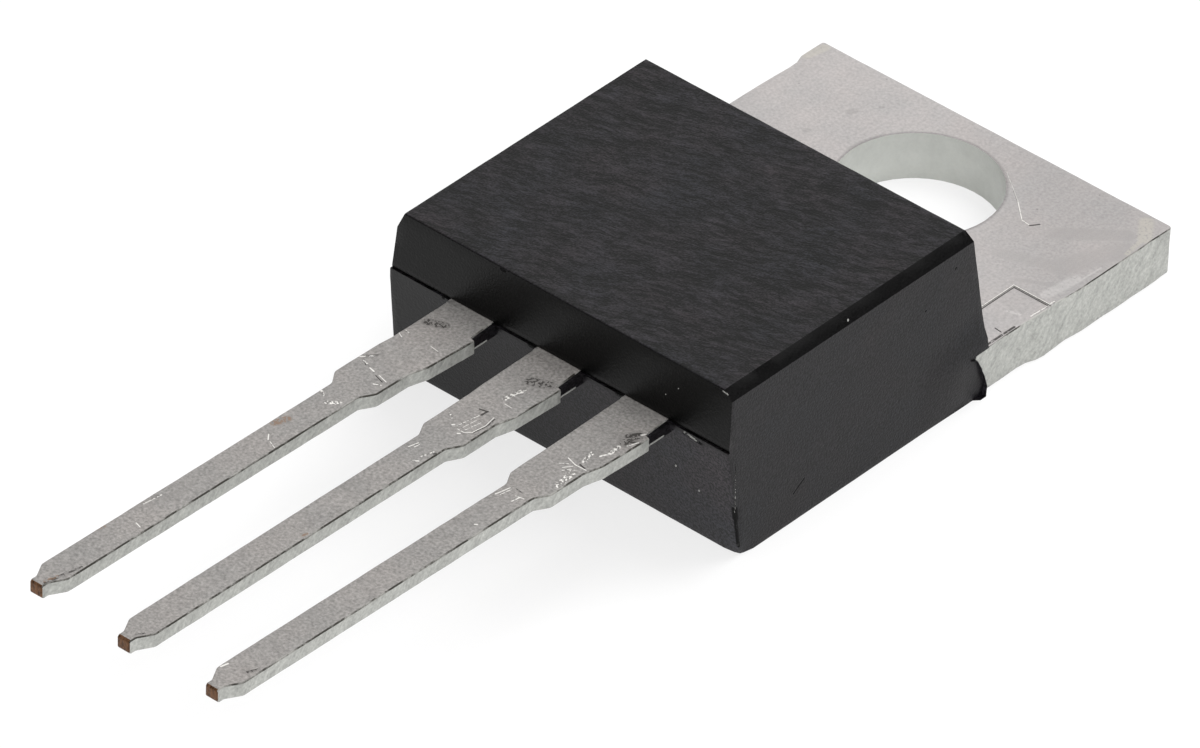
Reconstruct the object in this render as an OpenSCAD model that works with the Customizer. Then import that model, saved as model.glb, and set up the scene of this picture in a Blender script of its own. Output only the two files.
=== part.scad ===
// Power rectifier in a flat-tab case: a black moulded body on a copper tab, with
// three flat leads in one row. Two barrier diode chips sit on the tab, so the tab
// and the middle lead are their common cathode and the outer leads their anodes.
//
// The origin is on the axis of the mounting hole, in the plane of the tab's back.
// +Z points from the back to the moulded face, +Y to the free end of the tab, and
// the leads run towards -Y. The part lies on its back. All sizes are millimetres.

/* [Tab] */
// Width of the mounting tab
tab_w = 10.28; // [10.06:0.02:10.4]
// Thickness of the tab and of the heat spreader behind the chips
tab_t = 1.25; // [1.14:0.01:1.4]
// Distance from the centre of the hole to the free end of the tab
tab_end = 2.66; // [2.54:0.02:3.04]
// Diameter of the mounting hole
hole_d = 3.9; // [3.5:0.02:4]
// Depth of the two clamp prints beside the case
print_depth = 0.02; // [0.02:0.01:0.1]

/* [Case] */
// Width of the case at its back
case_w = 10.12; // [9.8:0.02:10.2]
// Height of the case
case_h = 4.52; // [4.4:0.02:4.8]
// Distance from the centre of the hole to the case, along the tab's back
case_gap = 3.32; // [3.2:0.02:3.6]
// Length of the case, from its mould line to the end at the tab
case_len = 8.76; // [8.5:0.02:9]
// Draft of the left and the right long side, in degrees
side_draft = [4, 1.6]; // [0.5:0.1:5]
// Draft of the end at the tab, in degrees
tab_end_draft = 8.8; // [4:0.2:10]
// Width of the flats along the left and the right top edge
flat_w = [0.19, 0.24]; // [0.1:0.01:0.4]
// Height of those flats
flat_h = [0.44, 0.22]; // [0.1:0.02:0.5]

/* [Leads] */
// Distance between neighbouring leads
pitch = 2.54; // [2.49:0.01:2.59]
// Thickness of the leads
lead_t = 0.36; // [0.36:0.01:0.5]
// Height of the top of the leads above the tab's back
lead_top = 3; // [2.9:0.02:3.1]
// Length of a lead outside the case
lead_len = 13.7; // [12.7:0.1:14.2]
// Length of the wide part outside the case
wide_len = 3.85; // [3.4:0.05:4.2]
// Width of the wide part
wide_w = 1.24; // [1.1:0.02:1.4]
// Width of the narrow part, which goes through the circuit board
narrow_w = 0.78; // [0.7:0.01:0.9]
// Upward tilt of each lead, in degrees
lead_tilt = [1.2, 0.9, 1.3]; // [0:0.1:3]
// Distance from the case at which each lead starts to tilt
tilt_start = [0.4, 3.85, 3.85]; // [0.4:0.05:4]

/* [Chips] */
// Side of a diode chip
chip_w = 2.6; // [2:0.1:2.8]
// Thickness of a diode chip
chip_t = 0.25; // [0.2:0.01:0.35]
// Distance of the chips from the middle of the tab
chip_x = 2.1; // [1.9:0.05:2.3]
// Diameter of the bond wires
wire_d = 0.3; // [0.2:0.02:0.38]
// Radius of a bond wire's loop
wire_loop_r = 2.3; // [2.1:0.1:3]

/* [Hidden] */
$fn = 64;

// Case: ends, mould line and small edge radii. The lower mould half is shifted a
// little to the left and to the front, which leaves a ledge there.
case_back = -case_gap;
mould_y = case_back - case_len;
mould_z = lead_top - 0.02;
mould_shift = 0.035;
mould_edge = 0.28;
groove_in = 0.03;
groove_h = 0.06;
case_shift = -0.04;
front_top_in = 0.14;
front_bottom_in = 0.42;
back_top_in = case_h * tan(tab_end_draft);
bottom_edge_r = 0.03;
top_edge_r = 0.04;

// Tab and heat spreader, the part of the tab inside the case. The lower corners of
// the tab's root are cut off at a slant, and moulding fills their place.
tab_root = -3.95;
root_foot = -3.58;
root_slant = [[root_foot - 0.05, 0], [root_foot, 0.28], [-3.77, 0.76], [tab_root, 1.15]];
lump_front = -4.35;
spreader_w = 8.4;
spreader_front = -10.3;
spreader_corner_r = 0.4;
grip_in = 0.35;
grip_h = 0.5;
neck_r = 0.35;
neck_y = -4.6;
tab_corner_r = 0.08;
print_x = 3.985;
print_end = -1.41;
slit = 0.5;

// Leads: plan of the part outside the case, measured from the mould line
shoulder_y = mould_y - wide_len;
tip_y = mould_y - lead_len;
tip_w = 0.36;
tip_stub = 0.2;
tip_taper = 0.38;
tip_bevel = 0.05;
shoulder_len = 0.36;
shoulder_r = 0.2;
stub_start = 0.72;
stub_end = 2.15;
stub_out = 0.17;
stub_fade = 0.5;
left_swell = [0.02, -0.04, -0.02];
swell_start = 1.85;
flash_w = 0.1;
flash_h = 0.27;
flash_drop = 0.03;

// Leads inside the case
post_in = 0.5;
post_back = 1.65;
post_inner = 1.15;
post_outer = 1.25;
post_corner_r = 0.15;
riser_in = 0.75;
riser_run = 1.05;

// Chips, solder and bond wires
solder_t = 0.05;
solder_rim = 0.1;
chip_y = -7.6;
wire_spacing = 0.9;
wire_land = chip_y - 0.1;
post_land = mould_y + 1.15;
foot_len = 0.75;
foot_d = 0.42;
clip = 20;

chip_top = tab_t + solder_t + chip_t;

// Unit vector and the points that round one corner of an outline
function unit(v) = v / norm(v);
function corner(a, b, c, r, n = 4) =
    r == 0 ? [b] :
    let (
        u = unit(a - b),
        v = unit(c - b),
        half = acos(u * v) / 2,
        centre = b + unit(u + v) * r / sin(half),
        from = b + u * r / tan(half) - centre,
        to = b + v * r / tan(half) - centre,
        start = atan2(from[1], from[0]),
        turn = (atan2(to[1], to[0]) - start + 540) % 360 - 180
    )
    [for (i = [0:n]) centre + r * [cos(start + turn * i / n), sin(start + turn * i / n)]];

// Outline through [x, y, radius] points, each corner rounded by its own radius
function rounded(p) = [
    for (i = [0:len(p) - 1])
        let (
            a = p[(i + len(p) - 1) % len(p)],
            b = p[i],
            c = p[(i + 1) % len(p)]
        )
        each corner([a[0], a[1]], [b[0], b[1]], [c[0], c[1]], b[2])
];

// A profile in the Y-Z plane, extruded to both sides of x = 0
module along_x(width) {
    rotate([90, 0, 90])
        linear_extrude(width, center = true)
            children();
}

// Place of a long side of the case at height z. side is 0 for the left one and 1
// for the right one.
function side_x(side, z) =
    case_shift + (2 * side - 1) * (case_w / 2 - z * tan(side_draft[side]));

// Outer form of the case: the side profile gives both drafted ends, with the ledge
// and the groove of the mould line on the lead end, and the end profile gives the
// drafted long sides, with the ledge on the left one
module case_form() {
    left_top = case_h - flat_h[0];
    right_top = case_h - flat_h[1];
    intersection() {
        along_x(case_w + 2)
            polygon(rounded([
                [mould_y + front_bottom_in, 0, bottom_edge_r],
                [mould_y, mould_z, 0],
                [mould_y + mould_shift + groove_in, mould_z, 0],
                [mould_y + mould_shift, mould_z + groove_h, 0],
                [mould_y + front_top_in, case_h, top_edge_r],
                [case_back - back_top_in, case_h, top_edge_r],
                [case_back, 0, bottom_edge_r]
            ]));
        translate([0, case_back + 1, 0])
            rotate([90, 0, 0])
                linear_extrude(case_len + 2)
                    polygon(rounded([
                        [side_x(0, 0), 0, bottom_edge_r],
                        [side_x(0, mould_z - mould_edge) - mould_shift, mould_z - mould_edge, 0],
                        [side_x(0, mould_z) - mould_shift / 2, mould_z, 0],
                        [side_x(0, mould_z), mould_z, 0],
                        [side_x(0, left_top), left_top, 0],
                        [side_x(0, left_top) + flat_w[0], case_h, 0],
                        [side_x(1, right_top) - flat_w[1], case_h, 0],
                        [side_x(1, right_top), right_top, 0],
                        [side_x(1, 0), 0, bottom_edge_r]
                    ]));
    }
}

// Moulding that fills the slant at the tab's root, flush with the tab's side
module root_lump() {
    intersection() {
        linear_extrude(tab_t)
            polygon([
                [spreader_w / 2, lump_front],
                [side_x(1, tab_t), lump_front],
                [tab_w / 2, tab_root],
                [tab_w / 2, root_foot],
                [spreader_w / 2, root_foot]
            ]);
        along_x(tab_w)
            polygon(concat([[lump_front, 0]], root_slant, [[lump_front, tab_t]]));
    }
}

// Plan of a lead from inside the case to its tip, seen from above. The right edge
// keeps the cut stub of the bar that joined the leads in the strip. place is -1 for
// the left lead, 0 for the middle one and 1 for the right one.
function lead_plan(place, inner) =
    let (
        x = place * pitch,
        swell = left_swell[place + 1]
    )
    concat(
        inner,
        [
            [x + wide_w / 2, mould_y, 0],
            [x + wide_w / 2 + 0.04, mould_y - stub_start, 0],
            [x + wide_w / 2 + stub_out, mould_y - stub_start - 0.03, 0],
            [x + wide_w / 2 + stub_out - 0.06, mould_y - stub_end, 0],
            [x + wide_w / 2 - 0.02, mould_y - stub_end - stub_fade, 0],
            [x + wide_w / 2 - 0.03, shoulder_y + shoulder_len / 2, shoulder_r],
            [x + narrow_w / 2, shoulder_y - shoulder_len / 2, shoulder_r],
            [x + narrow_w / 2, tip_y + tip_stub + tip_taper, shoulder_r],
            [x + tip_w / 2, tip_y + tip_stub, 0],
            [x + tip_w / 2, tip_y, 0],
            [x - tip_w / 2, tip_y, 0],
            [x - tip_w / 2, tip_y + tip_stub, 0],
            [x - narrow_w / 2, tip_y + tip_stub + tip_taper, shoulder_r],
            [x - narrow_w / 2, shoulder_y - shoulder_len / 2, shoulder_r],
            [x - wide_w / 2 - swell, shoulder_y + shoulder_len / 2, shoulder_r],
            [x - wide_w / 2 - swell, mould_y - swell_start - 0.35, 0],
            [x - wide_w / 2 + 0.02, mould_y - swell_start, 0],
            [x - wide_w / 2, mould_y, 0]
        ]
    );

// Side profile of a lead: its outer end tilts up, and the tip is bevelled
function lead_side(place, inner) =
    let (
        bend_y = mould_y - tilt_start[place + 1],
        rise = (bend_y - tip_y) * tan(lead_tilt[place + 1]),
        top = lead_top,
        bottom = lead_top - lead_t
    )
    concat(
        inner,
        [
            [bend_y, top],
            [tip_y + tip_bevel, top + rise],
            [tip_y, top + rise - tip_bevel],
            [tip_y, bottom + rise + tip_bevel],
            [tip_y + tip_bevel, bottom + rise],
            [bend_y, bottom]
        ]
    );

module strip(plan, side) {
    intersection() {
        linear_extrude(case_h)
            polygon(plan);
        along_x(tab_w)
            polygon(side);
    }
}

// Middle lead: it comes in level, then steps down to the top of the heat spreader
module middle_lead() {
    riser_top = mould_y + riser_in;
    riser_foot = riser_top + riser_run;
    gauge = lead_t * 0.35;
    strip(
        rounded(lead_plan(0, [[-wide_w / 2, riser_foot + slit, 0], [wide_w / 2, riser_foot + slit, 0]])),
        lead_side(0, [
            [riser_top - gauge, lead_top - lead_t],
            [riser_foot - gauge, tab_t - lead_t],
            [riser_foot + slit, tab_t - lead_t],
            [riser_foot + slit, tab_t],
            [riser_foot + gauge, tab_t],
            [riser_top + gauge, lead_top]
        ])
    );
}

// Outer lead: inside the case it widens to the post that carries the bond wires.
// side is -1 for the left lead and 1 for the right one.
module anode_lead(side) {
    x = side * pitch;
    narrow_end = x - side * post_inner;
    wide_end = x + side * post_outer;
    low = min(narrow_end, wide_end);
    high = max(narrow_end, wide_end);
    strip(
        rounded(lead_plan(side, [
            [x - wide_w / 2, mould_y + post_in, 0],
            [low, mould_y + post_in, post_corner_r],
            [low, mould_y + post_back, post_corner_r],
            [high, mould_y + post_back, post_corner_r],
            [high, mould_y + post_in, post_corner_r],
            [x + wide_w / 2, mould_y + post_in, 0]
        ])),
        lead_side(side, [
            [mould_y + post_back + slit, lead_top - lead_t],
            [mould_y + post_back + slit, lead_top]
        ])
    );
}

// Slant of the tab's root, cut out from below beside the spreader
module root_cut() {
    translate([spreader_w / 2 + tab_w, 0, 0])
        along_x(2 * tab_w)
            polygon(concat(
                [[lump_front, -slit], [root_slant[0][0], -slit]],
                root_slant,
                [[lump_front, tab_t]]
            ));
}

// Shallow print of the moulding tool's clamp, at the tab's edge beside the case
module clamp_print() {
    translate([print_x, tab_root, tab_t - print_depth])
        cube([tab_w, print_end - tab_root, tab_t]);
}

// Rebate under the side and front edges of the spreader, which the moulding grips
module grip_rebate() {
    translate([spreader_w / 2 - grip_in, spreader_front - slit, -slit])
        cube([grip_in + slit, neck_y - spreader_front + slit, grip_h + slit]);
    translate([-slit, spreader_front - slit, -slit])
        cube([spreader_w / 2 + slit, grip_in + slit, grip_h + slit]);
}

// Half-round notch in the spreader's edge, which keeps the tab from pulling out
module neck_notch() {
    translate([spreader_w / 2, neck_y, -slit])
        cylinder(r = neck_r, h = tab_t + 2 * slit);
}

// Flat tab with its hole, and the heat spreader that carries the chips
module tab_plate() {
    difference() {
        linear_extrude(tab_t)
            polygon(rounded([
                [-tab_w / 2, tab_end, tab_corner_r],
                [-tab_w / 2, tab_root, 0],
                [-spreader_w / 2, tab_root, 0],
                [-spreader_w / 2, spreader_front, spreader_corner_r],
                [spreader_w / 2, spreader_front, spreader_corner_r],
                [spreader_w / 2, tab_root, 0],
                [tab_w / 2, tab_root, 0],
                [tab_w / 2, tab_end, tab_corner_r]
            ]));
        translate([0, 0, -slit])
            cylinder(d = hole_d, h = tab_t + 2 * slit);
        for (flip = [0, 1])
            mirror([flip, 0, 0]) {
                clamp_print();
                root_cut();
                grip_rebate();
                neck_notch();
            }
    }
}

module tab_frame() {
    color("silver")
        union() {
            tab_plate();
            middle_lead();
        }
}

module left_anode_lead() {
    color("silver")
        anode_lead(-1);
}

module right_anode_lead() {
    color("silver")
        anode_lead(1);
}

// Square block with its middle over a chip's place
module chip_block(side, width, bottom, height) {
    translate([side * chip_x - width / 2, chip_y - width / 2, bottom])
        cube([width, width, height]);
}

module chip_solder(side) {
    color("gray")
        chip_block(side, chip_w + 2 * solder_rim, tab_t, solder_t);
}

module diode_chip(side) {
    color("dimgray")
        chip_block(side, chip_w, tab_t + solder_t, chip_t);
}

// Bond wire from the top of a chip to the top of a lead's post: one arc in the
// Y-Z plane, with a wedge-shaped foot at each end
module bond_wire(x) {
    a = [wire_land, chip_top];
    b = [post_land, lead_top];
    middle = (a + b) / 2;
    run = norm(b - a);
    rise = sqrt(wire_loop_r * wire_loop_r - run * run / 4);
    upward = [b[1] - a[1], a[0] - b[0]] / run;
    centre = middle - upward * rise;
    start = atan2(a[1] - centre[1], a[0] - centre[0]);
    end = atan2(b[1] - centre[1], b[0] - centre[0]);
    color("gainsboro")
        difference() {
            union() {
                translate([x, centre[0], centre[1]])
                    rotate([90, 0, 90])
                        rotate([0, 0, start - 4])
                            rotate_extrude(angle = end - start + 8)
                                translate([wire_loop_r, 0])
                                    circle(d = wire_d);
                for (foot = [a, b])
                    translate([x, foot[0] + foot_len / 2, foot[1]])
                        rotate([90, 0, 0])
                            cylinder(d = foot_d, h = foot_len);
            }
            translate([x, wire_land + clip / 4, chip_top - clip / 2])
                cube([clip, clip / 2 + 3, clip], center = true);
            translate([x, post_land - clip / 2 + 1, lead_top - clip / 2])
                cube([clip, clip, clip], center = true);
        }
}

// Thin flash of moulding left along a lead's right edge, up to the cut stub
module lead_flash(x) {
    length = stub_start + slit - 0.02;
    translate([x + wide_w / 2 - slit, mould_y + slit - length, lead_top - flash_drop - flash_h])
        cube([slit + flash_w, length, flash_h]);
}

// Everything that the moulding compound surrounds
module moulded_in() {
    tab_frame();
    left_anode_lead();
    right_anode_lead();
    for (side = [-1, 1]) {
        chip_solder(side);
        diode_chip(side);
        for (offset = [-1, 1])
            bond_wire(side * chip_x + offset * wire_spacing / 2);
    }
}

module moulded_case() {
    color("#2b2b2d")
        difference() {
            union() {
                case_form();
                for (place = [-1:1])
                    lead_flash(place * pitch);
                for (flip = [0, 1])
                    mirror([flip, 0, 0])
                        root_lump();
            }
            moulded_in();
        }
}

moulded_case();
tab_frame();
left_anode_lead();
right_anode_lead();
chip_solder(-1);  // left_chip_solder
chip_solder(1);  // right_chip_solder
diode_chip(-1);  // left_diode_chip
diode_chip(1);  // right_diode_chip
bond_wire(-chip_x - wire_spacing / 2);  // left_outer_bond_wire
bond_wire(-chip_x + wire_spacing / 2);  // left_inner_bond_wire
bond_wire(chip_x - wire_spacing / 2);  // right_inner_bond_wire
bond_wire(chip_x + wire_spacing / 2);  // right_outer_bond_wire
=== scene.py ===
import math

import bmesh
import bpy
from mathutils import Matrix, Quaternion, Vector, noise
from mathutils.bvhtree import BVHTree


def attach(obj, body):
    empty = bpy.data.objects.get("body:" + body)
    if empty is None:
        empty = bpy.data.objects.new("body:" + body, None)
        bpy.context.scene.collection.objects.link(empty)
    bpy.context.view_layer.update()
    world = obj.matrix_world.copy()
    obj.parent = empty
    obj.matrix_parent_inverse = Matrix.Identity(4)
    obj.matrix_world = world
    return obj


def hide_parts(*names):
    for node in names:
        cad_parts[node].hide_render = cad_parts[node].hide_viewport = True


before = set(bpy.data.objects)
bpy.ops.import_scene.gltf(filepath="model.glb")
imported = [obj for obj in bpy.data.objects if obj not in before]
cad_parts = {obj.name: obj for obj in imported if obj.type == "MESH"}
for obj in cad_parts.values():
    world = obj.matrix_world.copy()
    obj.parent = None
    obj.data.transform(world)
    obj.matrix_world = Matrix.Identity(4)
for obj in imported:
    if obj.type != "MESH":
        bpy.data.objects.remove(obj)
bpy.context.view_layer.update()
scene = bpy.context.scene
mm = 0.001
print("frame loaded:", len(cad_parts), "nodes")

cameraView = {
    "place": (163.802, -199.192, 190.049),  # mm, in front, to the right and above
    "aim": (0.2258, -10.9188, 2.0848),
    "lens": 430.83,
    "sensor": 36,
    "roll": 1.353,  # degrees
    "clip": (0.01, 20),  # metres
}

studio = {
    "floorSize": 1600,  # mm
    "floorColour": (0.93, 0.93, 0.93, 1),
    "floorDrop": 0.005,  # mm below the part
    "floorLift": 0.72,  # share of plain white in the floor, for the eye and for reflections
    "skyStrength": 0.6,
    "keyPlace": (40, 260, 420),
    "keySize": 380,
    "keyPower": 2.3,
    "fillPlace": (380, -220, 300),
    "fillSize": 420,
    "fillPower": 1.1,
    "cardColour": (0.03, 0.03, 0.03, 1),
}

# dark cards that only reflections see: (place, turn round Z in degrees, width, height)
darkCards = [
    ((330, 330, 190), 45, 640, 360),
    ((-330, -330, 190), 225, 640, 360),
    ((120, -430, 190), 285, 520, 360),
]


def linkObject(thing):
    scene.collection.objects.link(thing)
    return thing


def makeCamera():
    data = bpy.data.cameras.new("camera")
    data.lens = cameraView["lens"]
    data.sensor_width = cameraView["sensor"]
    data.clip_start, data.clip_end = cameraView["clip"]
    camera = linkObject(bpy.data.objects.new("camera", data))
    place = Vector(cameraView["place"]) * mm
    camera.location = place
    towards = Vector(cameraView["aim"]) * mm - place
    camera.rotation_mode = "QUATERNION"
    camera.rotation_quaternion = (
        towards.to_track_quat("-Z", "Y")
        @ Quaternion((0, 0, 1), math.radians(cameraView["roll"]))
    )
    scene.camera = camera


def makeLamp(name, place, size, power):
    data = bpy.data.lights.new(name, "AREA")
    data.size = size * mm
    data.energy = power
    lamp = linkObject(bpy.data.objects.new(name, data))
    lamp.location = Vector(place) * mm
    lamp.rotation_mode = "QUATERNION"
    lamp.rotation_quaternion = (-lamp.location).to_track_quat("-Z", "Y")
    lamp.visible_glossy = False


def newTree(material):
    material.use_nodes = True
    tree = material.node_tree
    tree.nodes.clear()
    return tree


def addNode(tree, kind, inputs=None, **settings):
    node = tree.nodes.new(kind)
    for name, value in settings.items():
        setattr(node, name, value)
    for name, value in (inputs or {}).items():
        if isinstance(value, bpy.types.NodeSocket):
            tree.links.new(value, node.inputs[name])
        else:
            node.inputs[name].default_value = value
    return node


def mathNode(tree, operation, first, second=0.0, clamp=False):
    inputs = {0: first, 1: second}
    return addNode(tree, "ShaderNodeMath", inputs, operation=operation, use_clamp=clamp).outputs[0]


def vectorNode(tree, operation, first, second=None):
    inputs = {0: first}
    if second is not None:
        inputs["Scale" if operation == "SCALE" else 1] = second
    return addNode(tree, "ShaderNodeVectorMath", inputs, operation=operation)


def mixColour(tree, share, first, second, blend="MIX"):
    node = addNode(tree, "ShaderNodeMix", data_type="RGBA", blend_type=blend, clamp_factor=True)
    for name, value in (("Factor_Float", share), ("A_Color", first), ("B_Color", second)):
        socket = next(s for s in node.inputs if s.identifier == name)
        if isinstance(value, bpy.types.NodeSocket):
            tree.links.new(value, socket)
        else:
            socket.default_value = value
    return next(s for s in node.outputs if s.identifier == "Result_Color")


def remap(tree, value, low, high, toLow=0.0, toHigh=1.0, smooth=False):
    return addNode(
        tree, "ShaderNodeMapRange",
        {"Value": value, "From Min": low, "From Max": high, "To Min": toLow, "To Max": toHigh},
        interpolation_type="SMOOTHSTEP" if smooth else "LINEAR", clamp=True,
    ).outputs[0]


def whiteRays(tree):
    # rays that see the ground as plain white: those of the eye, of gloss and of glass
    paths = addNode(tree, "ShaderNodeLightPath")
    seen = mathNode(tree, "MAXIMUM", paths.outputs["Is Camera Ray"], paths.outputs["Is Glossy Ray"])
    return mathNode(tree, "MAXIMUM", seen, paths.outputs["Is Transmission Ray"])


def makeWorld():
    world = bpy.data.worlds.new("softStudio")
    scene.world = world
    tree = newTree(world)
    light = addNode(tree, "ShaderNodeBackground", {
        "Color": (1, 1, 1, 1), "Strength": studio["skyStrength"],
    })
    white = addNode(tree, "ShaderNodeBackground", {"Color": (1, 1, 1, 1), "Strength": 1.0})
    mix = addNode(tree, "ShaderNodeMixShader", {
        0: whiteRays(tree), 1: light.outputs[0], 2: white.outputs[0],
    })
    out = addNode(tree, "ShaderNodeOutputWorld")
    tree.links.new(mix.outputs[0], out.inputs[0])


def makeFloor():
    mesh = bpy.data.meshes.new("floor")
    bm = bmesh.new()
    bmesh.ops.create_grid(bm, x_segments=1, y_segments=1, size=studio["floorSize"] * mm / 2)
    bmesh.ops.translate(bm, verts=bm.verts, vec=(0, 0, -studio["floorDrop"] * mm))
    bm.to_mesh(mesh)
    bm.free()
    floor = linkObject(bpy.data.objects.new("floor", mesh))
    material = bpy.data.materials.new("paleFloor")
    tree = newTree(material)
    matte = addNode(tree, "ShaderNodeBsdfDiffuse", {"Color": studio["floorColour"]})
    glow = addNode(tree, "ShaderNodeEmission", {"Color": (1, 1, 1, 1), "Strength": 1.0})
    lift = mathNode(tree, "MULTIPLY", whiteRays(tree), studio["floorLift"])
    mix = addNode(tree, "ShaderNodeMixShader", {0: lift, 1: matte.outputs[0], 2: glow.outputs[0]})
    out = addNode(tree, "ShaderNodeOutputMaterial")
    tree.links.new(mix.outputs[0], out.inputs[0])
    mesh.materials.append(material)


def makeDarkCards():
    material = bpy.data.materials.new("darkCard")
    tree = newTree(material)
    matte = addNode(tree, "ShaderNodeBsdfDiffuse", {"Color": studio["cardColour"]})
    out = addNode(tree, "ShaderNodeOutputMaterial")
    tree.links.new(matte.outputs[0], out.inputs[0])
    for number, (place, turn, width, height) in enumerate(darkCards):
        mesh = bpy.data.meshes.new(f"darkCard{number}")
        bm = bmesh.new()
        bmesh.ops.create_grid(bm, x_segments=1, y_segments=1, size=0.5)
        bmesh.ops.scale(bm, verts=bm.verts, vec=(width * mm, height * mm, 1))
        bm.to_mesh(mesh)
        bm.free()
        mesh.materials.append(material)
        card = linkObject(bpy.data.objects.new(f"darkCard{number}", mesh))
        card.location = Vector(place) * mm
        card.rotation_euler = (math.radians(90), 0, math.radians(turn - 90))
        card.visible_camera = False
        card.visible_diffuse = False
        card.visible_transmission = False
        card.visible_shadow = False


scene.view_settings.view_transform = "Standard"
makeCamera()
makeWorld()
makeFloor()
makeDarkCards()
makeLamp("keyLamp", studio["keyPlace"], studio["keySize"], studio["keyPower"])
makeLamp("fillLamp", studio["fillPlace"], studio["fillSize"], studio["fillPower"])
print("camera, floor and lamps ready")


# shared effects, each a node group with named inputs; lengths in them are millimetres

def newGroup(name, enters, leaves):
    tree = bpy.data.node_groups.new(name, "ShaderNodeTree")
    for socketName, kind, value in enters:
        socket = tree.interface.new_socket(name=socketName, in_out="INPUT", socket_type=kind)
        if value is not None:
            socket.default_value = value
    for socketName in leaves:
        tree.interface.new_socket(name=socketName, in_out="OUTPUT", socket_type="NodeSocketFloat")
    start = tree.nodes.new("NodeGroupInput")
    end = tree.nodes.new("NodeGroupOutput")
    return tree, start.outputs, end.inputs


def makeGrainGroup():
    # mottling from Low to High, stretched by its spacing along each axis
    tree, given, result = newGroup("grain", [
        ("Vector", "NodeSocketVector", None),
        ("Spacing", "NodeSocketVector", (0.1, 0.1, 0.1)),
        ("Low", "NodeSocketFloat", 0.0),
        ("High", "NodeSocketFloat", 1.0),
    ], ["Value"])
    scaled = vectorNode(tree, "DIVIDE", given["Vector"], given["Spacing"]).outputs[0]
    cloud = addNode(tree, "ShaderNodeTexNoise", {
        "Vector": scaled, "Scale": 1.0, "Detail": 2.5, "Roughness": 0.6,
    })
    value = remap(tree, cloud.outputs[0], 0.28, 0.72, given["Low"], given["High"])
    tree.links.new(value, result["Value"])
    return tree


def makeSpeckGroup():
    # small round spots scattered thinly over the surface
    tree, given, result = newGroup("specks", [
        ("Vector", "NodeSocketVector", None),
        ("Spacing", "NodeSocketFloat", 0.5),
        ("Radius", "NodeSocketFloat", 0.03),
        ("Share", "NodeSocketFloat", 0.3),
    ], ["Mask"])
    scale = mathNode(tree, "DIVIDE", 1.0, given["Spacing"])
    cells = addNode(tree, "ShaderNodeTexVoronoi", {"Vector": given["Vector"], "Scale": scale})
    reach = mathNode(tree, "MULTIPLY", cells.outputs["Distance"], given["Spacing"])
    ratio = mathNode(tree, "DIVIDE", reach, given["Radius"])
    spot = remap(tree, ratio, 0.6, 1.1, 1.0, 0.0, smooth=True)
    chance = vectorNode(tree, "DOT_PRODUCT", cells.outputs["Color"], (0.4, 0.35, 0.25))
    pick = mathNode(tree, "LESS_THAN", chance.outputs["Value"], given["Share"])
    tree.links.new(mathNode(tree, "MULTIPLY", spot, pick), result["Mask"])
    return tree


def makeStrokeGroup():
    # a scratch or smear from one point to another, broken up by a noise value
    tree, given, result = newGroup("stroke", [
        ("Vector", "NodeSocketVector", None),
        ("Noise", "NodeSocketFloat", 0.5),
        ("From", "NodeSocketVector", None),
        ("To", "NodeSocketVector", None),
        ("Width", "NodeSocketFloat", 0.05),
        ("Breakup", "NodeSocketFloat", 0.0),
    ], ["Mask"])
    run = vectorNode(tree, "SUBTRACT", given["To"], given["From"]).outputs[0]
    away = vectorNode(tree, "SUBTRACT", given["Vector"], given["From"]).outputs[0]
    along = vectorNode(tree, "DOT_PRODUCT", away, run).outputs["Value"]
    square = vectorNode(tree, "DOT_PRODUCT", run, run).outputs["Value"]
    share = mathNode(tree, "DIVIDE", along, mathNode(tree, "ADD", square, 1e-6), clamp=True)
    nearest = vectorNode(tree, "SCALE", run, share).outputs[0]
    gap = vectorNode(tree, "SUBTRACT", away, nearest).outputs[0]
    reach = vectorNode(tree, "LENGTH", gap).outputs["Value"]
    half = mathNode(tree, "MULTIPLY", given["Width"], 0.5)
    inside = remap(tree, mathNode(tree, "DIVIDE", reach, half), 0.55, 1.1, 1.0, 0.0, smooth=True)
    worn = mathNode(tree, "SUBTRACT", given["Noise"], given["Breakup"])
    kept = remap(tree, worn, -0.03, 0.03)
    tree.links.new(mathNode(tree, "MULTIPLY", inside, kept), result["Mask"])
    return tree


grainGroup = makeGrainGroup()
speckGroup = makeSpeckGroup()
strokeGroup = makeStrokeGroup()


def useGroup(tree, group, inputs):
    return addNode(tree, "ShaderNodeGroup", inputs, node_tree=group).outputs[0]


def grain(tree, place, spacing, low=0.0, high=1.0):
    return useGroup(tree, grainGroup, {
        "Vector": place, "Spacing": spacing, "Low": low, "High": high,
    })


def specks(tree, place, spacing, radius, share):
    return useGroup(tree, speckGroup, {
        "Vector": place, "Spacing": spacing, "Radius": radius, "Share": share,
    })


def strokes(tree, place, cloud, marks):
    # marks: (from, to, width, breakup). Each one takes its place by way of the one before,
    # so that Cycles works them out one at a time and doesn't run out of room for values
    total = None
    for start, end, width, breakup in marks:
        mask = useGroup(tree, strokeGroup, {
            "Vector": place, "Noise": cloud, "From": start, "To": end,
            "Width": width, "Breakup": breakup,
        })
        total = mask if total is None else mathNode(tree, "MAXIMUM", total, mask)
        nudge = mathNode(tree, "MULTIPLY", total, 1e-7)
        place = vectorNode(tree, "ADD", place, nudge).outputs[0]
    return total


def startMaterial(name):
    material = bpy.data.materials.new(name)
    tree = newTree(material)
    place = addNode(tree, "ShaderNodeTexCoord").outputs["Object"]
    return material, tree, vectorNode(tree, "SCALE", place, 1 / mm).outputs[0]


def bump(tree, height, depth, normal=None):
    inputs = {"Height": height, "Distance": depth * mm, "Strength": 1.0}
    if normal is not None:
        inputs["Normal"] = normal
    return addNode(tree, "ShaderNodeBump", inputs).outputs[0]


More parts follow.
